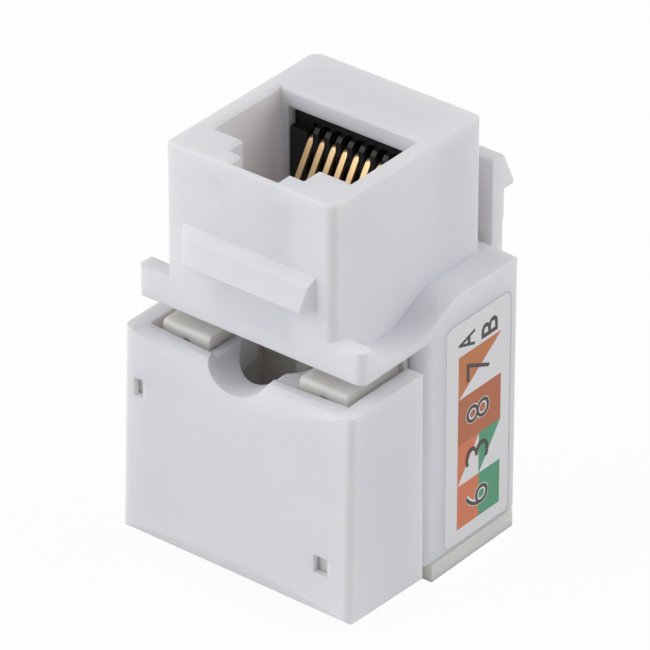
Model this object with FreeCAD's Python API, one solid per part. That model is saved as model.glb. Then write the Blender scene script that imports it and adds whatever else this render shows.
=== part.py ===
import FreeCAD, Part
import math
import os
from FreeCAD import Vector

# Keystone jack with a top plug port, a two-row terminal block and a press-on cap.
# Millimetres.  +X to the labelled side, +Y to the panel latch, +Z out of the plug port.
# The origin lies on the resting face, on the centre line of the keystone head.

# Keystone head: what passes through the panel opening.
head_width = 14.7
head_depth = 16.35
head_height = 10.8
head_front_rounds = (0.3, 0.75)
head_rear_rounds = (1.0, 0.3)
rim_round = 0.25

# Flange that stops the jack behind the panel, and the scooped shoulders behind its ears.
flange_width = 19.8
flange_height = 2.5
ear_depth = 1.25
ear_rounds = (0.2, 0.75)
ear_slope = 0.5
valley_radius = 6.2
valley_depth = 1.95
valley_setback = 5.2
plateau_drop = 0.15
plateau_setback = 11.4
shoulder_drop = 0.9
shoulder_round = 0.3

# Body behind the terminal block.
body_height = 18.7
body_rear_step = 1.2
body_front_setback = 6.7
body_front_round = 1.2
body_rear_round = 0.25
body_bottom_round = 0.4
side_wall = 1.2
rear_wall = 1.3

# Fixed hook under the panel's lower edge.
hook_width = 11.8
hook_reach = 1.15
hook_shoulder_reach = 0.6
hook_face = 1.95
hook_rise = 0.75
hook_above_flange = 2.1
hook_end_slope = 0.7
hook_lip_round = 0.12

# Plug port: eight-way modular jack cavity with its two-step latch notch.
port_width = 12.2
port_front_wall = 3.45
port_length = 7.5
port_floor = 1.2
lead_in = 0.2
lead_in_depth = 0.3
notch_wide = 6.7
notch_wide_reach = 1.7
notch_narrow = 4.2
notch_narrow_reach = 2.95
catch_thickness = 1.6
far_rim = 1.45
far_post = 0.8
window_width = 10.8
pocket_width = 12.4

# Contacts: eight spring wires at the modular-jack pitch, held in a comb.
contact_count = 8
contact_pitch = 1.016
wire_width = 0.44
wire_thickness = 0.34
wire_bend = 0.4
wire_tilt = 33.0
wire_reach = 8.1
wire_top_below_rim = 3.55
wire_tail_low = 22.9
wire_tail_step = 1.5
comb_face_gap = 0.05
comb_depth = 0.9
comb_wall = 0.85
comb_top_below_rim = 3.05
fin_rise = 0.5
comb_slot_width = 0.56
comb_slot_side_gap = 0.07

# Circuit board.
board_thickness = 1.2
board_corner = 0.5
solder_tail = 0.65
board_hole_gap = 0.15

# Terminal block: two rows of slotted towers on a base with a foot.
foot_height = 1.35
foot_front_setback = 7.95
tower_row_inner = 4.05
tower_row_outer = 8.2
tower_reach = 5.85
tower_end_round = 0.35
block_front = 1.9
slot_count = 4
slot_pitch = 4.2
slot_width = 1.2
slot_depth = 4.5
slot_mouth = 2.2
slot_mouth_depth = 0.7
spine_width = 1.0
spine_rise = 0.6

# Slit blades that bite the conductors.
blade_thickness = 0.4
blade_width = 3.0
blade_length = 3.6
blade_slit = 0.3
blade_slit_depth = 2.9
blade_tip_below = 0.85
blade_mouth = 0.5
neck_width = 1.0

# Cap that presses the conductors home.
cap_side_gap = 0.65
cap_wall = 1.35
cap_front_gap = 0.58
cap_lift = 1.4
cap_height = 16.85
cap_toe = 0.5
cap_draft = 0.13
cap_edge_round = 0.6
cap_back_gap = 0.4
cap_foot_rise = 0.35
cap_scoop_depth = 3.2
cap_scoop_dip = 0.35
cap_scoop_margin = 0.5
cap_scoop_turns = (0, 12, 24, 38, 54, 70, 90)
cap_foot_slope = (0.25, 1.15, 0.35)
cap_notch_radius = 3.1
cap_notch_rise = 1.05
cap_notch_aside = 0.5
cap_shelf_thickness = 1.2
cap_shelf_below_top = 0.7
cap_shelf_reach = 4.9
cap_shelf_side_gap = 0.15
cable_radius = 3.2
cable_setback = 4.0
presser_thickness = 0.9
presser_reach = 2.7
presser_side_gap = 0.25
window_height = 1.45
window_upper = (1.4, 4.65, 0.8)
window_lower = (2.5, 12.65, 1.25)

# Panel latch on the rear.
latch_width = 14.2
latch_gap = 1.78
latch_thickness = 1.2
latch_top_below_rim = 4.6
latch_ramp = 2.85
latch_catch = 1.35
latch_tip_round = 0.2
latch_crown_round = 0.15
latch_step_below = 9.7
latch_step = 0.12
latch_root_radius = 0.75
latch_root_gap = 0.06
latch_root_below_flange = 1.4
ledge_height = 1.9
ledge_side_margin = 0.4

# Wiring label in its shallow recess, on the +X side only.
label_width = 7.3
label_height = 18.2
label_thickness = 0.1
label_recess = 0.12
label_gap = 0.08
label_corner = 0.6
label_rear_inset = 0.8
label_bottom_inset = 0.4

# Clearances: snug between seated pieces, loose where a piece only drops in.
seat_gap = 0.05
loose_gap = 0.2
board_side_gap = 0.3
board_top_gap = 0.6

# How far a fused piece runs into its neighbour, and a cutter past the surface it cuts.
merge = 0.1
past = 1.0

# Levels and planes that the pieces share.
z_body = foot_height + seat_gap
z_flange = z_body + body_height
z_panel = z_flange + flange_height
z_rim = z_panel + head_height
z_plateau = z_panel - plateau_drop
z_floor = z_flange + port_floor
y_head_front = -head_depth / 2
y_head_rear = head_depth / 2
y_body_front = y_head_front + body_front_setback
y_body_rear = y_head_rear + body_rear_step
half_head = head_width / 2
half_body = flange_width / 2

y_port_front = y_head_front + port_front_wall
y_port_rear = y_port_front + port_length
y_window_rear = y_port_rear + far_post
y_comb = y_port_rear + comb_face_gap
y_comb_back = y_comb + comb_depth
y_comb_rear = y_comb_back + comb_wall
y_board = y_comb_rear + seat_gap
y_board_rear = y_board + board_thickness
y_tail_end = y_board_rear + solder_tail
y_pocket_rear = y_tail_end + loose_gap

y_block_front = -block_front
y_tower_front = y_block_front - tower_reach
y_cap_inner = y_tower_front - cap_front_gap
y_cap_front = y_cap_inner - cap_wall
z_cap = cap_lift
z_cap_top = z_cap + cap_height
z_row_middle = z_cap + cap_height / 2
tower_over_cap = 0.25
half_cap = tower_row_outer + cap_side_gap + cap_wall


def box(x0, x1, y0, y1, z0, z1):
    return Part.makeBox(x1 - x0, y1 - y0, z1 - z0, Vector(x0, y0, z0))


def centred_box(width, y0, y1, z0, z1):
    return box(-width / 2, width / 2, y0, y1, z0, z1)


def prism(points, start, direction):
    # points are Vectors in one plane; the face is moved to start and swept along direction
    wire = Part.makePolygon(points + [points[0]])
    face = Part.Face(wire)
    face.translate(start)
    return face.extrude(direction)


def across(points_yz, x0, x1):
    # a profile of (y, z) points swept from x0 to x1
    return prism([Vector(0, y, z) for y, z in points_yz], Vector(x0, 0, 0), Vector(x1 - x0, 0, 0))


def cylinder_x(radius, x0, x1, y, z):
    return Part.makeCylinder(radius, x1 - x0, Vector(x0, y, z), Vector(1, 0, 0))


def edges_where(shape, test):
    # the straight or curved edges whose two ends both pass the test
    return [e for e in shape.Edges if all(test(v.Point) for v in e.Vertexes)]


def near(a, b):
    return abs(a - b) < 1e-4


def vertical(shape, x=None, y=None):
    # upright edges at a given |x| and y
    def test(p):
        return (x is None or near(abs(p.x), x)) and (y is None or near(p.y, y))
    return [e for e in edges_where(shape, test)
            if near(e.Vertexes[0].X, e.Vertexes[-1].X) and near(e.Vertexes[0].Y, e.Vertexes[-1].Y)]


def rounded(shape, radius, edges):
    return shape.makeFillet(radius, edges)


def rounded_rectangle(width, height, corner, thickness):
    # a plate in the YZ plane, centred, growing along +X
    plate = box(0, thickness, -width / 2, width / 2, -height / 2, height / 2)
    corners = [e for e in plate.Edges if near(e.Vertexes[0].Y, e.Vertexes[-1].Y)
               and near(e.Vertexes[0].Z, e.Vertexes[-1].Z)]
    return rounded(plate, corner, corners)


def single(shape, name):
    # one clean solid, or a stop with the piece's name
    shape = shape.removeSplitter()
    if len(shape.Solids) != 1 or not shape.isValid():
        raise ValueError(name + " is not one valid solid")
    return shape.Solids[0]


def valley_tool():
    # what is scooped out between the ears and the plateau, seen from the side
    y_bottom = y_head_front + valley_setback
    z_bottom = z_panel - valley_depth
    y_plateau = y_head_front + plateau_setback
    rise = z_plateau - z_bottom
    run = y_plateau - y_bottom
    turn = 2 * math.atan2(rise, run)
    crest_radius = run / math.sin(turn) - valley_radius
    y_ear = y_head_front + ear_depth + ear_slope

    def on_valley(y):
        return z_bottom + valley_radius - math.sqrt(valley_radius ** 2 - (y - y_bottom) ** 2)

    y_turn = y_bottom + valley_radius * math.sin(turn)
    crest_angle = turn / 2
    y_crest = y_plateau - crest_radius * math.sin(crest_angle)
    z_crest = z_plateau - crest_radius * (1 - math.cos(crest_angle))
    z_over = z_rim
    start = Vector(0, y_ear, on_valley(y_ear))
    turning = Vector(0, y_turn, on_valley(y_turn))
    end = Vector(0, y_plateau, z_plateau)
    ear_top = Vector(0, y_head_front + ear_depth, z_panel)
    over_ear = Vector(0, ear_top.y, z_over)
    over_end = Vector(0, end.y, z_over)
    outline = Part.Wire([
        Part.Arc(start, Vector(0, y_bottom, z_bottom), turning).toShape(),
        Part.Arc(turning, Vector(0, y_crest, z_crest), end).toShape(),
        Part.makeLine(end, over_end),
        Part.makeLine(over_end, over_ear),
        Part.makeLine(over_ear, ear_top),
        Part.makeLine(ear_top, start),
    ])
    tool = Part.Face(outline).extrude(Vector(2 * flange_width, 0, 0))
    tool.translate(Vector(-flange_width, 0, 0))
    return tool


def domed_block():
    # the body's outline from the front: straight sides, and a top that falls away in an arc beside the head
    run = half_body - half_head
    radius = (run ** 2 + shoulder_drop ** 2) / (2 * shoulder_drop)
    z_edge = z_plateau - shoulder_drop
    x_middle = half_head + run / 2
    z_middle = z_plateau - radius + math.sqrt(radius ** 2 - (run / 2) ** 2)

    def point(x, z):
        return Vector(x, y_head_front, z)

    outline = Part.Wire([
        Part.makeLine(point(-half_body, z_body), point(half_body, z_body)),
        Part.makeLine(point(half_body, z_body), point(half_body, z_edge)),
        Part.Arc(point(half_body, z_edge), point(x_middle, z_middle), point(half_head, z_plateau)).toShape(),
        Part.makeLine(point(half_head, z_plateau), point(-half_head, z_plateau)),
        Part.Arc(point(-half_head, z_plateau), point(-x_middle, z_middle), point(-half_body, z_edge)).toShape(),
        Part.makeLine(point(-half_body, z_edge), point(-half_body, z_body)),
    ])
    return Part.Face(outline).extrude(Vector(0, y_body_rear - y_head_front, 0))


def shoulders_and_body():
    # flange, scooped shoulders and the body as one rounded block
    block = domed_block()
    top_sides = edges_where(block, lambda p: near(abs(p.x), half_body) and near(p.z, z_plateau - shoulder_drop))
    block = rounded(block, shoulder_round, [e for e in top_sides if e.Length > flange_width / 2])
    rear = edges_where(block, lambda p: near(p.y, y_body_rear))
    block = rounded(block, body_rear_round, [e for e in rear if not near(e.BoundBox.ZMax, z_body)])
    ears = centred_box(flange_width, y_head_front, y_head_front + ear_depth + ear_slope, z_flange, z_panel)
    block = block.fuse(ears).cut(valley_tool())
    block = block.cut(centred_box(2 * flange_width, 2 * y_head_front, y_body_front, 0, z_flange)).removeSplitter()
    for side, radius in zip((-1, 1), ear_rounds):
        ears = [e for e in vertical(block, half_body, y_head_front)
                if e.Length > flange_height / 2 and side * e.Vertexes[0].X > 0]
        block = rounded(block, radius, ears)
    fronts = [e for e in vertical(block, half_body, y_body_front) if e.Length > body_height / 2]
    block = rounded(block, body_front_round, fronts)
    return rounded(block, body_bottom_round, edges_where(block, lambda p: near(p.z, z_body)))


def head_block():
    head = centred_box(head_width, y_head_front, y_head_rear, z_flange, z_rim)
    for y, radii in ((y_head_front, head_front_rounds), (y_head_rear, head_rear_rounds)):
        for side, radius in zip((-1, 1), radii):
            head = rounded(head, radius, [e for e in vertical(head, half_head, y) if side * e.Vertexes[0].X > 0])
    rim = edges_where(head, lambda p: near(p.z, z_rim))
    return rounded(head, rim_round, rim)


def fixed_hook():
    # a two-slope wedge on the head's front face, flat-bottomed over the panel's edge, with sloped ends
    z_low = z_panel + hook_above_flange
    z_shoulder = z_low + hook_face
    z_high = z_shoulder + hook_rise
    y_tip = y_head_front - hook_reach
    half = hook_width / 2
    wedge = across([(y_head_front + past, z_low), (y_tip, z_low), (y_head_front - hook_shoulder_reach, z_shoulder),
                    (y_head_front, z_high), (y_head_front + past, z_high)], -half, half)
    lips = [e for e in edges_where(wedge, lambda p: near(p.y, y_tip) or near(p.z, z_shoulder))
            if e.Length > half]
    wedge = rounded(wedge, hook_lip_round, lips)
    for side in (-1, 1):
        slope = hook_end_slope * past / hook_reach
        corner = [Vector(side * (half - hook_end_slope - slope), y_tip - past, 0),
                  Vector(side * (half + past), y_tip - past, 0),
                  Vector(side * (half + past), y_head_front, 0),
                  Vector(side * half, y_head_front, 0)]
        wedge = wedge.cut(prism(corner, Vector(0, 0, z_low - past), Vector(0, 0, z_high - z_low + 2 * past)))
    return wedge


def port_cavity():
    # the plug space, its stepped latch notch, the catch under the rim and the lead-in
    half_port = port_width / 2
    z_catch = z_rim - catch_thickness
    y_wide = y_port_front - notch_wide_reach
    y_narrow = y_port_front - notch_narrow_reach
    cavity = box(-half_port, half_port, y_port_front, y_port_rear, z_floor, z_rim + past)
    cavity = cavity.fuse([
        centred_box(notch_wide, y_wide, y_port_front + past, z_floor, z_rim + past),
        centred_box(notch_narrow, y_narrow, y_wide + past, z_catch - past, z_rim + past),
        centred_box(notch_wide, y_narrow, y_wide + past, z_floor, z_catch),
    ])
    outline = [(-half_port, y_port_front), (-notch_wide / 2, y_port_front), (-notch_wide / 2, y_wide),
               (-notch_narrow / 2, y_wide), (-notch_narrow / 2, y_narrow)]
    outline = outline + [(-x, y) for x, y in reversed(outline)]
    outline = outline + [(half_port, y_port_rear), (-half_port, y_port_rear)]
    mouth = Part.makePolygon([Vector(x, y, z_rim - lead_in_depth) for x, y in outline + [outline[0]]])
    wider = mouth.makeOffset2D(lead_in, join=2)
    wider.translate(Vector(0, 0, lead_in_depth))
    lower = mouth.copy()
    cavity = cavity.fuse(Part.makeLoft([lower, wider], True, True))
    return cavity.removeSplitter()


def label_place(shape, x):
    y_middle = y_body_rear - label_rear_inset - label_width / 2
    z_middle = z_body + label_bottom_inset + label_height / 2
    shape.translate(Vector(x, y_middle, z_middle))
    return shape


def latch_pivot():
    return y_head_rear + latch_gap + latch_thickness / 2, z_flange - latch_root_below_flange


def latch_ledge():
    # the shelf on the body's rear that carries the latch's root, with its round seat
    y_root, z_root = latch_pivot()
    width = latch_width + 2 * ledge_side_margin
    y_out = y_root + latch_thickness / 2 + latch_root_gap
    shelf = centred_box(width, y_body_rear - 1, y_out, z_root - ledge_height, z_root)
    outer = edges_where(shelf, lambda p: near(p.y, y_out) and near(p.z, z_root - ledge_height))
    shelf = rounded(shelf, latch_thickness / 2, outer)
    return shelf


def latch_seat():
    y_root, z_root = latch_pivot()
    half = latch_width / 2 + latch_root_gap
    radius = latch_root_radius + latch_root_gap
    return cylinder_x(radius, -half, half, y_root, z_root)


def jack_housing():
    shell = shoulders_and_body().fuse([head_block(), fixed_hook(), latch_ledge()]).removeSplitter()
    inner = flange_width - 2 * side_wall
    z_roof = z_rim - far_rim
    shell = shell.cut([
        centred_box(inner, y_body_front - past, y_body_rear - rear_wall, z_body - past, z_flange),
        centred_box(pocket_width, y_window_rear, y_pocket_rear, z_flange - past, z_roof),
        centred_box(window_width, y_port_rear - past, y_window_rear + past, z_floor, z_roof),
        port_cavity(),
        latch_seat(),
        label_place(rounded_rectangle(label_width + 2 * label_gap, label_height + 2 * label_gap,
                                      label_corner + label_gap, 1), half_body - label_recess),
    ])
    return single(shell, "jack_housing")


def panel_latch():
    # springy arm with a ramp and a catch, on a round root
    y_root, z_root = latch_pivot()
    half = latch_width / 2
    y_in = y_head_rear + latch_gap
    y_out = y_in + latch_thickness
    z_top = z_rim - latch_top_below_rim
    z_tip = z_top - latch_ramp
    z_step = z_rim - latch_step_below
    arm = across([
        (y_in, z_root), (y_in, z_top), (y_out, z_top), (y_out + latch_catch, z_tip),
        (y_out + latch_step, z_tip), (y_out + latch_step, z_step), (y_out, z_step - latch_step),
        (y_out, z_root),
    ], -half, half)
    tip = edges_where(arm, lambda p: near(p.z, z_tip) and near(p.y, y_out + latch_catch))
    arm = rounded(arm, latch_tip_round, tip)
    crown = edges_where(arm, lambda p: near(p.z, z_top))
    arm = rounded(arm, latch_crown_round, [e for e in crown if e.Length > latch_thickness * 2])
    arm = arm.fuse(cylinder_x(latch_root_radius, -half, half, y_root, z_root))
    return single(arm, "panel_latch")


def contact_x(index):
    return (index - (contact_count - 1) / 2) * contact_pitch


def wire_tail_z(index):
    return wire_tail_low + (index % 2) * wire_tail_step


def contact_wire(index):
    # one spring wire: solder tail, riser in the comb, bend, and the leg that meets the plug
    x = contact_x(index)
    z_tail = wire_tail_z(index)
    y_riser = y_comb_back + wire_thickness / 2 - comb_slot_side_gap
    z_bend = z_rim - wire_top_below_rim - wire_bend
    tilt = math.radians(wire_tilt)
    half_turn = (math.pi - tilt) / 2

    def point(y, z):
        return Vector(x, y, z)

    def on_arc(centre_y, centre_z, angle):
        return point(centre_y + wire_bend * math.cos(angle), centre_z + wire_bend * math.sin(angle))

    tail_end = point(y_tail_end, z_tail)
    elbow_y, elbow_z = y_riser + wire_bend, z_tail + wire_bend
    elbow_low = point(elbow_y, z_tail)
    elbow_mid = on_arc(elbow_y, elbow_z, math.radians(225))
    elbow_up = point(y_riser, elbow_z)
    bend_y = y_riser - wire_bend
    bend_start = point(y_riser, z_bend)
    bend_mid = on_arc(bend_y, z_bend, half_turn)
    bend_end = on_arc(bend_y, z_bend, math.pi - tilt)
    leg_end = bend_end + Vector(0, -math.sin(tilt), -math.cos(tilt)) * wire_reach
    path = Part.Wire([
        Part.makeLine(tail_end, elbow_low),
        Part.Arc(elbow_low, elbow_mid, elbow_up).toShape(),
        Part.makeLine(elbow_up, bend_start),
        Part.Arc(bend_start, bend_mid, bend_end).toShape(),
        Part.makeLine(bend_end, leg_end),
    ])
    w, t = wire_width / 2, wire_thickness / 2
    section = Part.makePolygon([
        Vector(x - w, y_tail_end, z_tail - t), Vector(x + w, y_tail_end, z_tail - t),
        Vector(x + w, y_tail_end, z_tail + t), Vector(x - w, y_tail_end, z_tail + t),
        Vector(x - w, y_tail_end, z_tail - t),
    ])
    wire = path.makePipeShell([section], True, True)
    return single(wire, "contact_wire")


def contact_carrier():
    # black comb behind the port's window: a front comb on a wider back wall
    z_comb = z_rim - comb_top_below_rim
    z_low = z_floor + seat_gap
    z_high = z_rim - far_rim - seat_gap
    comb_width = window_width - loose_gap
    comb = centred_box(comb_width, y_comb, y_comb_back, z_low, z_comb)
    wall = centred_box(pocket_width - loose_gap, y_window_rear + seat_gap, y_comb_rear, z_low, z_high)
    fin_half = (contact_pitch - comb_slot_width) / 2
    fins = []
    for index in range(contact_count - 1):
        x = contact_x(index) + contact_pitch / 2
        fins.append(across([(y_comb, z_comb - merge), (y_comb_back + merge, z_comb - merge),
                            (y_comb_back + merge, z_comb + fin_rise),
                            (y_comb + comb_depth / 3, z_comb + fin_rise), (y_comb, z_comb + fin_rise / 3)],
                           x - fin_half, x + fin_half))
    carrier = comb.fuse([wall] + fins)
    y_slot = y_comb_back + wire_thickness
    cuts = []
    for index in range(contact_count):
        x = contact_x(index)
        z_tail = wire_tail_z(index)
        half = comb_slot_width / 2
        cuts.append(box(x - half, x + half, y_comb - past, y_slot, z_tail - wire_thickness, z_comb + fin_rise))
        cuts.append(box(x - half, x + half, y_slot - merge, y_comb_rear + past,
                        z_tail - wire_thickness, z_tail + wire_thickness))
    return single(carrier.cut(cuts), "contact_carrier")


def slot_heights():
    return [z_row_middle + (i - (slot_count - 1) / 2) * slot_pitch for i in range(slot_count)]


def row_sides():
    return (-1, 1)


def blade_x(side):
    return side * (tower_row_inner + tower_row_outer) / 2


def circuit_board():
    # upper tongue in the head, wide part behind the terminal block
    half_low = flange_width / 2 - side_wall - board_side_gap
    half_high = pocket_width / 2 - loose_gap
    z_low = foot_height + seat_gap
    z_step = z_flange - loose_gap
    z_high = z_rim - far_rim - board_top_gap
    low = box(-half_low, half_low, y_board, y_board_rear, z_low, z_step)
    high = box(-half_high, half_high, y_board, y_board_rear, z_step - past, z_high)
    board = low.fuse(high).removeSplitter()
    corners = [e for e in board.Edges if near(e.Vertexes[0].X, e.Vertexes[-1].X)
               and near(e.Vertexes[0].Z, e.Vertexes[-1].Z)
               and not (near(e.Vertexes[0].Z, z_step) and near(abs(e.Vertexes[0].X), half_high))]
    board = rounded(board, board_corner, corners)
    holes = []
    wire_hole = math.hypot(wire_width, wire_thickness) / 2 + board_hole_gap
    neck_hole = math.hypot(neck_width, blade_thickness) / 2 + board_hole_gap
    for index in range(contact_count):
        holes.append(Part.makeCylinder(wire_hole, board_thickness + 2 * past,
                                       Vector(contact_x(index), y_board - past, wire_tail_z(index)), Vector(0, 1, 0)))
    for side in row_sides():
        for z in slot_heights():
            holes.append(Part.makeCylinder(neck_hole, board_thickness + 2 * past,
                                           Vector(blade_x(side), y_board - past, z), Vector(0, 1, 0)))
    return single(board.cut(holes), "circuit_board")


def tower_row(side):
    # one row of towers, before the blades' pockets are cut
    z0 = z_cap - tower_over_cap
    z1 = z_cap_top + tower_over_cap
    x0, x1 = sorted((side * tower_row_inner, side * tower_row_outer))
    row = box(x0, x1, y_tower_front, y_block_front + past, z0, z1)
    ends = edges_where(row, lambda p: near(p.y, y_tower_front))
    row = rounded(row, tower_end_round, [e for e in ends if near(e.Vertexes[0].Z, e.Vertexes[-1].Z)])
    wire, mouth = slot_width / 2, slot_mouth / 2
    for z in slot_heights():
        row = row.cut(across([
            (y_tower_front - past, z - mouth), (y_tower_front, z - mouth),
            (y_tower_front + slot_mouth_depth, z - wire), (y_tower_front + slot_depth, z - wire),
            (y_tower_front + slot_depth, z + wire), (y_tower_front + slot_mouth_depth, z + wire),
            (y_tower_front, z + mouth), (y_tower_front - past, z + mouth),
        ], x0 - past, x1 + past))
    return row


def idc_carrier():
    # base block with its foot, two tower rows, a spine in the cable channel and the blade pockets
    inner = flange_width - 2 * side_wall - loose_gap
    z_high = z_flange - loose_gap
    base = centred_box(inner, y_block_front, y_board - seat_gap, 0, z_high)
    foot = centred_box(flange_width, y_head_front + foot_front_setback, y_body_rear, 0, foot_height)
    foot = rounded(foot, body_rear_round, vertical(foot, half_body, y_body_rear))
    spine = centred_box(spine_width, y_block_front - spine_rise, y_block_front + past, z_cap, z_cap_top)
    carrier = base.fuse([foot, spine] + [tower_row(side) for side in row_sides()])
    y_tip = y_tower_front + blade_tip_below
    pocket_x = blade_thickness / 2 + seat_gap
    pocket_z = blade_width / 2 + seat_gap
    neck_z = neck_width / 2 + seat_gap
    cuts = []
    for side in row_sides():
        x = blade_x(side)
        for z in slot_heights():
            cuts.append(box(x - pocket_x, x + pocket_x, y_tower_front - past, y_tip + blade_length + seat_gap,
                            z - pocket_z, z + pocket_z))
            cuts.append(box(x - pocket_x, x + pocket_x, y_tip + blade_length, y_board + past, z - neck_z, z + neck_z))
    return single(carrier.cut(cuts), "idc_carrier")


def idc_terminal(side, z):
    # a slit fork on a neck that runs through the block to the board
    x = blade_x(side)
    y_tip = y_tower_front + blade_tip_below
    y_shoulder = y_tip + blade_length
    outer, neck = blade_width / 2, neck_width / 2
    slit, mouth = blade_slit / 2, blade_mouth
    half = [(y_tail_end, neck), (y_shoulder, neck), (y_shoulder, outer), (y_tip, outer),
            (y_tip, mouth), (y_tip + mouth, slit), (y_tip + blade_slit_depth, slit)]
    profile = [(y, z + dz) for y, dz in half] + [(y, z - dz) for y, dz in reversed(half)]
    return single(across(profile, x - blade_thickness / 2, x + blade_thickness / 2), "idc_terminal")


def cap_lean(z):
    # how far down the cap a height lies, 0 at its top and 1 at its bottom
    return (z_cap_top - z) / cap_height


def cap_face_y(z):
    # where the cap's leaning front stands at a height
    return y_cap_front - cap_toe * cap_lean(z)


def cap_block(inset, y_back, z0, z1):
    # a block that leans out downward like the cap's outside, inset from it
    def ring(z):
        half = half_cap + cap_draft * cap_lean(z) - inset
        y_front = cap_face_y(z) + inset
        corners = [Vector(-half, y_back, z), Vector(-half, y_front, z), Vector(half, y_front, z),
                   Vector(half, y_back, z)]
        return Part.makePolygon(corners + corners[:1])

    return Part.makeLoft([ring(z0), ring(z1)], True, True)


def cap_slope(half, stations, z_far):
    # a cutter whose edge bows from two ends to the middle, through stations of (y, z of the ends, z of the middle)
    def ring(y, end, middle):
        left, right = Vector(-half, y, end), Vector(half, y, end)
        far_left, far_right = Vector(-half, y, z_far), Vector(half, y, z_far)
        return Part.Wire([
            Part.Arc(left, Vector(0, y, middle), right).toShape(),
            Part.makeLine(right, far_right),
            Part.makeLine(far_right, far_left),
            Part.makeLine(far_left, left),
        ])

    return Part.makeLoft([ring(*station) for station in stations], True, True)


def cap_scoop():
    # the dished, outward-bulging slope along the top of the cap's front, deepest over the notch
    y_low = cap_face_y(z_cap_top - cap_scoop_depth)
    z_end = z_cap_top + seat_gap
    stations = [(y_low - past, z_end, z_cap_top - cap_scoop_depth)]
    for turn in cap_scoop_turns:
        angle = math.radians(turn)
        depth = cap_scoop_dip + (cap_scoop_depth - cap_scoop_dip) * (1 - math.sin(angle))
        stations.append((y_low + (y_cap_inner - y_low) * (1 - math.cos(angle)), z_end, z_cap_top - depth))
    stations.append((y_cap_inner + past, z_end, z_cap_top - cap_scoop_dip))
    return cap_slope(half_cap - cap_scoop_margin, stations, z_cap_top + past)


def cap_foot_bevel():
    # the shallow slope along the bottom of the cap's front, tallest in the middle
    reach, middle, end = cap_foot_slope
    z_front = z_cap + cap_foot_rise
    y_out = cap_face_y(z_front)
    return cap_slope(half_cap + past, [(y_out - past, z_front + end, z_front + middle * (1 + past / reach)),
                                       (y_out + reach, z_front - merge, z_front)], z_cap - past)


def cap_cradle():
    # the trough between the tower rows that carries the cable, with a round-ended gap behind it
    z1 = z_cap_top - cap_shelf_below_top
    z0 = z_cap_top + cap_notch_rise - cap_notch_radius - cap_shelf_thickness
    half = tower_row_inner - cap_shelf_side_gap
    cradle = box(-half, half, y_cap_inner - cap_wall / 2, y_cap_inner + cap_shelf_reach, z0, z1)
    y_middle = y_cap_inner + cable_setback
    gap = Part.makeCylinder(cable_radius, z1 - z0 + 2 * past, Vector(0, y_middle, z0 - past))
    gap = gap.fuse(centred_box(2 * cable_radius, y_middle, y_middle + cap_shelf_reach, z0 - past, z1 + past))
    return cradle.cut(gap)


def cap_pressers():
    # bars that push each conductor into its blade, one each side of the blade
    bars = []
    gap = blade_thickness / 2 + presser_side_gap
    half = presser_thickness / 2
    for side in row_sides():
        middle = blade_x(side)
        inner, outer = side * (tower_row_inner + presser_side_gap), side * (tower_row_outer - presser_side_gap)
        for z in slot_heights():
            y_wall = cap_face_y(z) + cap_wall / 2
            for end, start in ((inner, middle - side * gap), (outer, middle + side * gap)):
                x0, x1 = sorted((start, end))
                bars.append(box(x0, x1, y_wall, y_cap_inner + presser_reach, z - half, z + half))
    return bars


def cap_window(side, from_side, below_top, width):
    # a small square window, as deep as the wall and half as much again
    x = side * (half_cap - from_side)
    z = z_cap_top - below_top
    y_face = cap_face_y(z)
    return box(x - width / 2, x + width / 2, y_face - past, y_face + 1.5 * cap_wall,
               z - window_height / 2, z + window_height / 2)


def termination_cap():
    y_back = y_body_front - cap_back_gap
    z_under = z_cap - past
    shell = cap_block(0, y_back, z_under, z_cap_top)
    corners = [e for e in edges_where(shell, lambda p: p.y < y_cap_inner) if e.Length > cap_height
               and e.Vertexes[0].X * e.Vertexes[-1].X > 0]
    shell = rounded(shell, cap_edge_round, corners)
    z_front = z_cap + cap_foot_rise
    y_out = cap_face_y(z_under) - past
    foot = across([(y_out, z_front), (y_back, z_cap), (y_back + past, z_cap),
                   (y_back + past, z_under - past), (y_out, z_under - past)], -2 * half_cap, 2 * half_cap)
    shell = shell.cut([foot, cap_foot_bevel(), cap_scoop()])
    shell = shell.cut(cap_block(cap_wall, y_back + past, z_under - past, z_cap_top + past))
    shell = shell.fuse([cap_cradle()] + cap_pressers())
    notch = Part.makeCylinder(cap_notch_radius, 2 * cap_wall + cap_shelf_reach + past,
                              Vector(-cap_notch_aside, y_cap_inner - 2 * cap_wall, z_cap_top + cap_notch_rise),
                              Vector(0, 1, 0))
    shell = shell.cut([notch, cap_window(-1, *window_upper), cap_window(1, *window_lower)])
    return single(shell, "termination_cap")


def wiring_label():
    plate = rounded_rectangle(label_width, label_height, label_corner, label_thickness)
    return single(label_place(plate, half_body - label_recess), "wiring_label")


def pieces():
    yield "jack_housing", jack_housing()
    yield "panel_latch", panel_latch()
    yield "termination_cap", termination_cap()
    yield "idc_carrier", idc_carrier()
    yield "contact_carrier", contact_carrier()
    yield "circuit_board", circuit_board()
    yield "wiring_label", wiring_label()
    for index in range(contact_count):
        yield "contact_wire_%d" % (index + 1), contact_wire(index)
    number = 0
    for side in row_sides():
        for z in slot_heights():
            number += 1
            yield "idc_terminal_%d" % number, idc_terminal(side, z)


os.makedirs("parts", exist_ok=True)
for name, shape in pieces():
    shape.exportStep("parts/" + name + ".step")
    print(name, "volume %.2f mm3" % shape.Volume)
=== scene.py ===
import math

import bmesh
import bpy
from mathutils import Matrix, Vector


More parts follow.
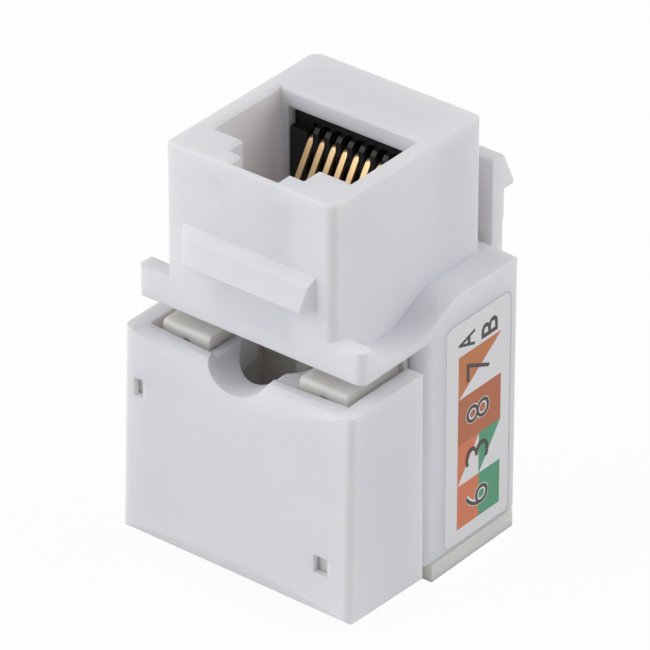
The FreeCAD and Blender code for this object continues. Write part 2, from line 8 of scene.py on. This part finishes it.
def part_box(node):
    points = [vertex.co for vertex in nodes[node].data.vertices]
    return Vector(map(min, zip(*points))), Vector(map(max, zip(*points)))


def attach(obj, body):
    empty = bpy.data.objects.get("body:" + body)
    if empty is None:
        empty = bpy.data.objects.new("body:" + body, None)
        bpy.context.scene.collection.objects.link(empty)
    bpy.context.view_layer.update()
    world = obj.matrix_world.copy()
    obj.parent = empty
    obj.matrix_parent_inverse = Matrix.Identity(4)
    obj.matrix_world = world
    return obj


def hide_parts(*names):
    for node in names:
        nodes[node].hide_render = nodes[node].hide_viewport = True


# Keystone network jack, standing on its terminal block with the plug port up.
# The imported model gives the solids; this file gives them their finishes, the
# printed wiring label, the light and the camera.

mm = 0.001

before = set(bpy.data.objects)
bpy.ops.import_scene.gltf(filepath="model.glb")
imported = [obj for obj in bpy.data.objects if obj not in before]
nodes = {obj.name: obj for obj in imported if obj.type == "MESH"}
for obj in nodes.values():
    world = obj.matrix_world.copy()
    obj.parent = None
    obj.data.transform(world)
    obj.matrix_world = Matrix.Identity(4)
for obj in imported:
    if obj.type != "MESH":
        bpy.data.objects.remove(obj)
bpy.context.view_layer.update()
print("frame loaded,", len(nodes), "nodes")


def hexColour(code):
    # sRGB hex to the linear RGBA that shaders take
    values = [int(code[i:i + 2], 16) / 255 for i in (1, 3, 5)]
    linear = [v / 12.92 if v <= 0.04045 else ((v + 0.055) / 1.055) ** 2.4 for v in values]
    return (*linear, 1.0)


def addNode(tree, kind, settings=None, links=None):
    # settings: attributes or socket values; links: socket name -> output socket
    node = tree.nodes.new(kind)
    for name, value in (settings or {}).items():
        if isinstance(name, int) or name in node.inputs:
            node.inputs[name].default_value = value
        else:
            setattr(node, name, value)
    for name, source in (links or {}).items():
        tree.links.new(source, node.inputs[name])
    return node


def emptyTree(owner):
    owner.use_nodes = True
    owner.node_tree.nodes.clear()
    return owner.node_tree


def addObject(name, data):
    thing = bpy.data.objects.new(name, data)
    bpy.context.scene.collection.objects.link(thing)
    return thing


def startMaterial(name):
    material = bpy.data.materials.new(name)
    tree = emptyTree(material)
    place = addNode(tree, "ShaderNodeTexCoord").outputs["Object"]
    return material, tree, place


def addNoise(tree, place, size, detail, roughness=0.5):
    # uneven patches of about this size, mm
    return addNode(tree, "ShaderNodeTexNoise",
                   {"Scale": 1 / (size * mm), "Detail": detail, "Roughness": roughness}, {"Vector": place})


def addBlend(tree, noise, base, shade):
    return addNode(tree, "ShaderNodeMixRGB", {"Color1": hexColour(base), "Color2": hexColour(shade)},
                   {"Fac": noise.outputs["Fac"]})


def addGloss(tree, noise, smoothest, roughest):
    return addNode(tree, "ShaderNodeMapRange", {"To Min": smoothest, "To Max": roughest},
                   {"Value": noise.outputs["Fac"]})


def addRelief(tree, noise, strength, height):
    # bumps of this height, mm
    return addNode(tree, "ShaderNodeBump", {"Strength": strength, "Distance": height * mm},
                   {"Height": noise.outputs["Fac"]})


def endMaterial(tree, settings, links):
    shader = addNode(tree, "ShaderNodeBsdfPrincipled", settings, links)
    addNode(tree, "ShaderNodeOutputMaterial", None, {"Surface": shader.outputs["BSDF"]})


mouldedPlastic = {
    "grain": 0.12,          # spark-eroded grain of the mould, mm; a little coarse so that it shows
    "grainHeight": 0.004,
    "tonePatch": 6.0,        # size of the slow, slightly darker patches of colour, mm
    "smoother": 0.05,       # how far the roughness wanders down and up with the grain
    "rougher": 0.06,
    "edgeRadius": 0.09,     # moulded edges are never knife-sharp
    "sheen": 0.25,          # the eroded grain scatters about half of the mirror light
    "depth": 3.0,           # how far light wanders inside the white plastic, mm
    "warmth": (1.0, 0.8, 0.62),     # red wanders furthest, so thin walls and deep corners turn warm
}


def makeMouldedPlastic(name, base, shade, roughness, glow, ior=1.585):
    # Injection-moulded polycarbonate or polyester: faint grain, a soft broad sheen, slightly uneven
    # colour, and in white a glow from light that has wandered inside
    material, tree, place = startMaterial(name)
    slow = addNoise(tree, place, mouldedPlastic["tonePatch"], 2.0, 0.5)
    fine = addNoise(tree, place, mouldedPlastic["grain"], 3.0, 0.6)
    tint = addBlend(tree, slow, base, shade)
    gloss = addGloss(tree, fine, roughness - mouldedPlastic["smoother"],
                     roughness + mouldedPlastic["rougher"])
    edge = addNode(tree, "ShaderNodeBevel", {"samples": 6, "Radius": mouldedPlastic["edgeRadius"] * mm})
    grain = addNode(tree, "ShaderNodeBump", {"Strength": 0.5, "Distance": mouldedPlastic["grainHeight"] * mm},
                    {"Height": fine.outputs["Fac"], "Normal": edge.outputs["Normal"]})
    endMaterial(tree, {"IOR": ior, "Specular IOR Level": mouldedPlastic["sheen"],
                       "Subsurface Weight": glow, "Subsurface Radius": mouldedPlastic["warmth"],
                       "Subsurface Scale": mouldedPlastic["depth"] * mm},
                {"Base Color": tint.outputs["Color"], "Roughness": gloss.outputs["Result"],
                 "Normal": grain.outputs["Normal"]})
    return material


goldWire = {
    "base": "#DDC197",
    "shade": "#C9A878",
    "lineWidth": 0.05,      # fine lines from the drawing die, mm
    "lineStretch": (1.0, 0.08, 0.08),
    "lineHeight": 0.004,
    "smoothest": 0.36,
    "roughest": 0.48,
}


def makeGoldPlate(name):
    # Gold over nickel on drawn bronze wire: warm, bright, with fine draw lines along the wire
    material, tree, place = startMaterial(name)
    along = addNode(tree, "ShaderNodeMapping", {"Scale": goldWire["lineStretch"]}, {"Vector": place})
    lines = addNoise(tree, along.outputs["Vector"], goldWire["lineWidth"], 2.0)
    tint = addBlend(tree, lines, goldWire["base"], goldWire["shade"])
    gloss = addGloss(tree, lines, goldWire["smoothest"], goldWire["roughest"])
    draw = addRelief(tree, lines, 0.3, goldWire["lineHeight"])
    endMaterial(tree, {"Metallic": 1.0},
                {"Base Color": tint.outputs["Color"], "Roughness": gloss.outputs["Result"],
                 "Normal": draw.outputs["Normal"]})
    return material


tinStrip = {
    "base": "#D2D1CC",
    "shade": "#B9B8B3",
    "mottle": 0.3,          # size of the tin's pale patches, mm
    "smoothest": 0.34,
    "roughest": 0.5,
}


def makeTinPlate(name):
    # Matt tin over stamped bronze: pale grey, soft, slightly mottled
    material, tree, place = startMaterial(name)
    mottle = addNoise(tree, place, tinStrip["mottle"], 4.0)
    tint = addBlend(tree, mottle, tinStrip["base"], tinStrip["shade"])
    gloss = addGloss(tree, mottle, tinStrip["smoothest"], tinStrip["roughest"])
    endMaterial(tree, {"Metallic": 1.0},
                {"Base Color": tint.outputs["Color"], "Roughness": gloss.outputs["Result"]})
    return material


board = {
    "overTrack": "#2F7A45",
    "overPlane": "#2A6D3E",
    "overGap": "#1E5530",
    "weave": 1.2,           # pitch of the glass cloth, mm
    "weaveHeight": 0.01,
    "tracks": 4.0,          # size of the copper areas, mm
}


def makeSolderMask(name):
    # Glass-epoxy laminate under green solder mask: glossy, with the weave and the buried tracks
    # showing faintly
    material, tree, place = startMaterial(name)
    weave = addNode(tree, "ShaderNodeTexWave", {"Scale": 1 / (board["weave"] * mm), "Distortion": 0.4},
                    {"Vector": place})
    tracks = addNode(tree, "ShaderNodeTexBrick",
                     {"Scale": 1 / (board["tracks"] * mm), "Color1": hexColour(board["overTrack"]),
                      "Color2": hexColour(board["overPlane"]), "Mortar": hexColour(board["overGap"])},
                     {"Vector": place})
    relief = addRelief(tree, weave, 0.2, board["weaveHeight"])
    endMaterial(tree, {"Roughness": 0.25, "Coat Weight": 0.4, "IOR": 1.5},
                {"Base Color": tracks.outputs["Color"], "Normal": relief.outputs["Normal"]})
    return material


film = {
    "inkPatch": 0.5,        # size of the ink's darker patches, mm
    "peel": 0.25,           # size and height of the faint orange-peel, mm
    "peelHeight": 0.003,
}


def makePrintedFilm(name, base, shade, roughness=0.4):
    # White polyester label film, or ink on it: smooth, with a faint orange-peel and uneven ink
    material, tree, place = startMaterial(name)
    ink = addNoise(tree, place, film["inkPatch"], 4.0, 0.65)
    peel = addNoise(tree, place, film["peel"], 1.0)
    tint = addBlend(tree, ink, base, shade)
    relief = addRelief(tree, peel, 0.15, film["peelHeight"])
    endMaterial(tree, {"Roughness": roughness, "IOR": 1.5},
                {"Base Color": tint.outputs["Color"], "Normal": relief.outputs["Normal"]})
    return material


whitePolycarbonate = makeMouldedPlastic("whitePolycarbonate", "#ECEBF0", "#E6E5EB", 0.42, 0.55)
capPolycarbonate = makeMouldedPlastic("capPolycarbonate", "#EBEAEF", "#E5E4EA", 0.44, 0.55)
warmPolycarbonate = makeMouldedPlastic("warmPolycarbonate", "#F0ECE6", "#EAE5DE", 0.46, 0.6)
blackPolyester = makeMouldedPlastic("blackPolyester", "#1C1D1F", "#151617", 0.5, 0.0, 1.57)
goldPlate = makeGoldPlate("goldPlate")
tinPlate = makeTinPlate("tinPlate")
solderMask = makeSolderMask("solderMask")
labelFilm = makePrintedFilm("labelFilm", "#E9E9EC", "#E3E3E7", 0.38)

finishes = {
    "jack_housing": whitePolycarbonate,
    "panel_latch": whitePolycarbonate,
    "termination_cap": capPolycarbonate,
    "idc_carrier": warmPolycarbonate,
    "contact_carrier": blackPolyester,
    "circuit_board": solderMask,
    "wiring_label": labelFilm,
}
for name, node in nodes.items():
    finish = finishes.get(name)
    if name.startswith("contact_wire"):
        finish = goldPlate
    if name.startswith("idc_terminal"):
        finish = tinPlate
    for slot in node.material_slots:
        slot.material = finish
print("solids finished")


shoulder = {
    "inner": 7.35,          # the shoulders start at the head's sides, mm
    "lowest": 20.6,         # everything of the housing below this height stays, mm
    "domeRadius": 4.0625,   # the plain solid's shoulders fall outward in this arc, mm
    "fall": 0.09,           # the moulding's shoulders run level but for this fall, mm
    "fallReach": 2.4,       # reached this far out from the head's side, mm
    "crest": 3.23,          # in front of this depth they bend down into the scoops behind the ears, mm
    "crestRadius": 5.36,
    "crestFront": 0.4,      # the bend ends at this depth, mm
    "crestCuts": 15,        # cuts across the skin that let it follow the bend
    "scoopFloor": -2.8,     # the fall has died away at this depth, mm
    "margin": 0.01,         # corners this close to the head's side still belong to a shoulder, mm
    "step": 0.01,           # reach over which a slope is measured, mm
    "weld": 0.0005,         # corners closer than this are one, mm
}


def bend(radius, reach):
    # how far an arc that starts level has fallen
    return radius - math.sqrt(radius ** 2 - min(max(reach, 0), radius) ** 2)


def shoulderLift(x, y):
    # how far the skin is raised over the plain solid, mm
    aside = max(abs(x) - shoulder["inner"], 0)
    dome = bend(shoulder["domeRadius"], aside)
    slope = bend(shoulder["crestRadius"], shoulder["crest"] - y)
    along = (y - shoulder["scoopFloor"]) / (shoulder["crestFront"] - shoulder["scoopFloor"])
    fall = shoulder["fall"] * (aside / shoulder["fallReach"]) ** 2
    return max(dome - slope, 0) - fall * min(max(along, 0), 1)


def onShoulder(corner):
    x, y, z = (value / mm for value in corner.co)
    return abs(x) > shoulder["inner"] - shoulder["margin"] and y > 0 and z > shoulder["lowest"]


def levelShoulders():
    # the housing's skin, with shoulders that run almost level to a tight outer edge instead of a
    # dome; the solid's own shading normals are kept and tilted with the faces
    solid = nodes["jack_housing"]
    skin = bmesh.new()
    skin.from_mesh(solid.data)
    facing = skin.loops.layers.float_vector.new("facing")
    skin.faces.ensure_lookup_table()
    for face in skin.faces:
        for loop in face.loops:
            loop[facing] = solid.data.corner_normals[loop.index].vector
    skin.transform(solid.matrix_world)
    bmesh.ops.remove_doubles(skin, verts=skin.verts, dist=shoulder["weld"] * mm)
    for cut in range(shoulder["crestCuts"]):
        share = cut / (shoulder["crestCuts"] - 1)
        y = shoulder["crestFront"] + share * (shoulder["crest"] - shoulder["crestFront"])
        faces = [face for face in skin.faces if all(onShoulder(corner) for corner in face.verts)]
        edges = list({edge for face in faces for edge in face.edges})
        corners = list({corner for face in faces for corner in face.verts})
        bmesh.ops.bisect_plane(skin, geom=corners + edges + faces, dist=shoulder["weld"] * mm,
                               plane_co=(0, y * mm, 0), plane_no=(0, 1, 0))
    step = shoulder["step"]
    normals = []
    for face in skin.faces:
        for loop in face.loops:
            x, y, z = (value / mm for value in loop.vert.co)
            normal = Vector(loop[facing])
            if z > shoulder["lowest"]:
                slopeX = (shoulderLift(x + step, y) - shoulderLift(x - step, y)) / (2 * step)
                slopeY = (shoulderLift(x, y + step) - shoulderLift(x, y - step)) / (2 * step)
                normal -= Vector((slopeX, slopeY, 0)) * normal.z
            normals.append(normal.normalized())
    for corner in skin.verts:
        x, y, z = (value / mm for value in corner.co)
        if z > shoulder["lowest"]:
            corner.co.z += shoulderLift(x, y) * mm
    mesh = bpy.data.meshes.new("housingSkin")
    skin.to_mesh(mesh)
    skin.free()
    mesh.shade_smooth()
    mesh.normals_split_custom_set(normals)
    mesh.materials.append(whitePolycarbonate)
    housing = addObject("housingSkin", mesh)
    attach(housing, "jack")
    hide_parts("jack_housing")


levelShoulders()
print("shoulders levelled")


capWindows = {
    "depth": 0.5,       # the two windows are closed this far behind the cap's face, mm
    "floor": 1.0,       # and the floor is this thick, mm
    "keyedIn": 0.04,    # how far a floor reaches into the window's sides, mm
    "places": (((-9.2, -8.4), -9.82, (12.88, 14.33)),     # across, face, height
               ((7.08, 8.33), -10.05, (4.88, 6.32))),
}


def closeCapWindows():
    # a block of pale plastic across each window, a little way in
    floors = bmesh.new()
    keyedIn = capWindows["keyedIn"]
    for across, face, height in capWindows["places"]:
        near = face + capWindows["depth"]
        low = Vector((across[0] - keyedIn, near, height[0] - keyedIn))
        high = Vector((across[1] + keyedIn, near + capWindows["floor"], height[1] + keyedIn))
        spread = Matrix.Diagonal((*(high - low), 1))
        bmesh.ops.create_cube(floors, size=1, matrix=Matrix.Translation((low + high) / 2) @ spread)
    floors.transform(Matrix.Scale(mm, 4))
    mesh = bpy.data.meshes.new("capWindowFloors")
    floors.to_mesh(mesh)
    floors.free()
    mesh.materials.append(warmPolycarbonate)
    piece = addObject("capWindowFloors", mesh)
    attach(piece, "cap")


closeCapWindows()
print("cap windows closed")


label = {
    "inkHeight": 0.012,     # the ink is drawn this thick so that it stands clear of the film, mm
    "columnStart": 0.19,    # coloured column, as shares of the label's width from its front edge
    "columnEnd": 0.86,
    "rows": (0.152, 0.346, 0.555, 0.742, 0.94),    # row edges, as shares of the height from the top
    "figureHeight": 2.6,    # figures and letters lie on their sides, mm
    "figureWidth": 1.55,
    "letterHeight": 1.85,
    "letterWidth": 1.3,
    "figureWeight": -0.012,     # how far the strokes are fattened, as a share of the type size
    "letterWeight": 0.012,
    "haloWeight": 0.018,
    "haloGrowth": 0.12,     # a halo is this much larger than its figure, mm
    "haloed": ("8", "6"),
    "figureColumn": 0.495,  # the figures stand in one column, a little forward of the label's middle
    "figures": (("7", 0.245), ("8", 0.446), ("3", 0.638), ("6", 0.842)),    # each one's place down
    "letterLine": 0.1,
    "letters": (("A", 0.31), ("B", 0.67)),      # each one's place across
}

inkColours = {      # base and shade
    "brownInk": ("#C77A45", "#C0743F"),
    "darkBrownInk": ("#BC6B42", "#B4643C"),
    "orangeInk": ("#DB7B52", "#D4744A"),
    "greenInk": ("#4E9E76", "#479770"),
    "blackInk": ("#3F3733", "#352E2B"),
    "whiteInk": ("#F0EEEC", "#E8E6E4"),
}
inks = {name: makePrintedFilm(name, base, shade) for name, (base, shade) in inkColours.items()}

labelLow, labelHigh = (Vector(corner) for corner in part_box("wiring_label"))


def labelPoint(across, down):
    # a place on the film: across from its front edge, down from its top, both from 0 to 1
    return Vector((labelHigh.x, labelLow.y + across * (labelHigh.y - labelLow.y),
                   labelHigh.z - down * (labelHigh.z - labelLow.z)))


def printPatch(name, outlines, ink):
    # thin closed patches of ink on the film
    vertices, faces = [], []
    lift = Vector((label["inkHeight"] * mm, 0, 0))
    for outline in outlines:
        first, count = len(vertices), len(outline)
        points = [labelPoint(*place) for place in outline]
        vertices += points + [p + lift for p in points]
        faces.append([first + i for i in reversed(range(count))])
        faces.append([first + count + i for i in range(count)])
        for i in range(count):
            j = (i + 1) % count
            faces.append([first + i, first + j, first + count + j, first + count + i])
    mesh = bpy.data.meshes.new(name)
    mesh.from_pydata(vertices, [], faces)
    mesh.validate()
    mesh.update()
    patch = addObject(name, mesh)
    mesh.materials.append(inks[ink])
    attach(patch, "jack")


left, right = label["columnStart"], label["columnEnd"]
middle = (left + right) / 2
row = label["rows"]
printPatch("labelBrownBright", [[(left, row[0]), (left, row[1]), (right, row[0])]], "brownInk")
printPatch("labelBrown", [[(left, row[1]), (left, row[2]), (right, row[2]), (right, row[1])]], "darkBrownInk")
printPatch("labelOrange", [[(left, row[2]), (left, row[3]), (middle, row[2])],
                           [(left, row[3]), (left, row[4]), (middle, row[4]), (middle, row[3])]], "orangeInk")
printPatch("labelGreen", [[(middle, row[2]), (middle, row[3]), (right, row[2])],
                          [(middle, row[3]), (middle, row[4]), (right, row[4]), (right, row[3])]], "greenInk")


def printGlyph(name, text, across, down, height, width, weight, ink="blackInk", layer=1):
    # a plain figure or letter lying on its side: its top points to the front edge and it reads upward
    lettering = bpy.data.curves.new(name, "FONT")
    lettering.body = text
    lettering.size = 1.0
    lettering.offset = weight
    lettering.extrude = 0.5     # any thickness will do: it is fitted to the ink's below
    lettering.resolution_u = 5
    glyph = addObject(name, lettering)
    bpy.context.view_layer.update()
    corners = [Vector(corner) for corner in glyph.bound_box]
    low = Vector([min(c[i] for c in corners) for i in range(3)])
    high = Vector([max(c[i] for c in corners) for i in range(3)])
    size = high - low
    thick = label["inkHeight"] * mm
    fit = Matrix.Diagonal((width * mm / size.x, height * mm / size.y, thick / size.z, 1.0))
    turn = Matrix(((0, 0, 1, 0), (0, -1, 0, 0), (1, 0, 0, 0), (0, 0, 0, 1)))
    place = labelPoint(across, down) + Vector(((layer + 0.5) * thick, 0, 0))
    glyph.matrix_world = Matrix.Translation(place) @ turn @ fit @ Matrix.Translation(-(low + high) / 2)
    lettering.materials.append(inks[ink])
    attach(glyph, "jack")


for number, down in label["figures"]:
    place = (number, label["figureColumn"], down)
    if number in label["haloed"]:
        printGlyph("figureHalo" + number, *place, label["figureHeight"] + label["haloGrowth"],
                   label["figureWidth"] + label["haloGrowth"], label["haloWeight"], "whiteInk")
    printGlyph("figure" + number, *place, label["figureHeight"], label["figureWidth"],
               label["figureWeight"], layer=2)
for letter, across in label["letters"]:
    printGlyph("letter" + letter, letter, across, label["letterLine"], label["letterHeight"],
               label["letterWidth"], label["letterWeight"], layer=0)
print("label printed")


studio = {
    "white": (1, 1, 1, 1),
    "floor": "#F4F4F5",
    "floorReach": 0.6,      # from the middle to each side, metres
    "skyStrength": 0.3,
    "whiteShare": 0.95,     # how far the eye sees the floor as plain white; the rest keeps the shadow
    "lampDistance": 0.6,
    "aim": (0, 0, 15 * mm),
}
softboxes = {       # azimuth from the cap's front towards the label, elevation, size in metres, watts
    "leftSoftbox": (-44, 29, 0.6, 2.5),
    "rightSoftbox": (133, 36, 0.6, 1.95),
}


def seenDirectly(tree):
    # 1 for what the eye sees straight on, in a reflection or through something clear
    path = addNode(tree, "ShaderNodeLightPath")
    mirrored = addNode(tree, "ShaderNodeMath", {"operation": "MAXIMUM"},
                       {0: path.outputs["Is Glossy Ray"], 1: path.outputs["Is Transmission Ray"]})
    return addNode(tree, "ShaderNodeMath", {"operation": "MAXIMUM"},
                   {0: path.outputs["Is Camera Ray"], 1: mirrored.outputs["Value"]}).outputs["Value"]


world = bpy.data.worlds.new("studioWorld")
bpy.context.scene.world = world
worldTree = emptyTree(world)
litSky = addNode(worldTree, "ShaderNodeBackground",
                 {"Color": studio["white"], "Strength": studio["skyStrength"]})
shownSky = addNode(worldTree, "ShaderNodeBackground", {"Color": studio["white"], "Strength": 1.0})
sky = addNode(worldTree, "ShaderNodeMixShader", None, {"Fac": seenDirectly(worldTree),
                                                       1: litSky.outputs["Background"],
                                                       2: shownSky.outputs["Background"]})
addNode(worldTree, "ShaderNodeOutputWorld", None, {"Surface": sky.outputs["Shader"]})

floorMesh = bpy.data.meshes.new("floor")
reach = studio["floorReach"]
floorMesh.from_pydata([(-reach, -reach, 0), (reach, -reach, 0), (reach, reach, 0), (-reach, reach, 0)], [],
                      [(0, 1, 2, 3)])
floor = addObject("floor", floorMesh)
floorPaper = bpy.data.materials.new("floorPaper")
floorMesh.materials.append(floorPaper)
floorTree = emptyTree(floorPaper)
matt = addNode(floorTree, "ShaderNodeBsdfDiffuse", {"Color": hexColour(studio["floor"])})
plainWhite = addNode(floorTree, "ShaderNodeEmission", {"Color": studio["white"], "Strength": 1.0})
share = addNode(floorTree, "ShaderNodeMath", {"operation": "MULTIPLY", 1: studio["whiteShare"]},
                {0: seenDirectly(floorTree)})
paper = addNode(floorTree, "ShaderNodeMixShader", None,
                {"Fac": share.outputs["Value"], 1: matt.outputs["BSDF"], 2: plainWhite.outputs["Emission"]})
addNode(floorTree, "ShaderNodeOutputMaterial", None, {"Surface": paper.outputs["Shader"]})


def direction(azimuth, elevation):
    # from the object outward; azimuth from the cap's front towards the label, both in degrees
    a, e = math.radians(azimuth), math.radians(elevation)
    return Vector((math.sin(a) * math.cos(e), -math.cos(a) * math.cos(e), math.sin(e)))


for name, (azimuth, elevation, size, watts) in softboxes.items():
    lamp = bpy.data.lights.new(name, "AREA")
    lamp.shape = "SQUARE"
    lamp.size = size
    lamp.energy = watts
    holder = addObject(name, lamp)
    away = direction(azimuth, elevation)
    holder.location = Vector(studio["aim"]) + away * studio["lampDistance"]
    holder.rotation_euler = (-away).to_track_quat("-Z", "Y").to_euler()
print("softboxes hung")

camera = {
    "azimuth": 38.616,
    "elevation": 31.552,
    "target": (0.0, 0.1 * mm, 17.4 * mm),
    "distance": 0.442,
    "lens": 349.2,
    "sensor": 36,
    "clipStart": 0.01,
}
back = direction(camera["azimuth"], camera["elevation"])
cameraData = bpy.data.cameras.new("camera")
cameraData.sensor_width = camera["sensor"]
cameraData.lens = camera["lens"]
cameraData.clip_start = camera["clipStart"]
cameraObject = addObject("camera", cameraData)
cameraObject.location = Vector(camera["target"]) + back * camera["distance"]
cameraObject.rotation_euler = (-back).to_track_quat("-Z", "Y").to_euler()
bpy.context.scene.camera = cameraObject
bpy.context.scene.view_settings.view_transform = "Standard"
print("stage set")
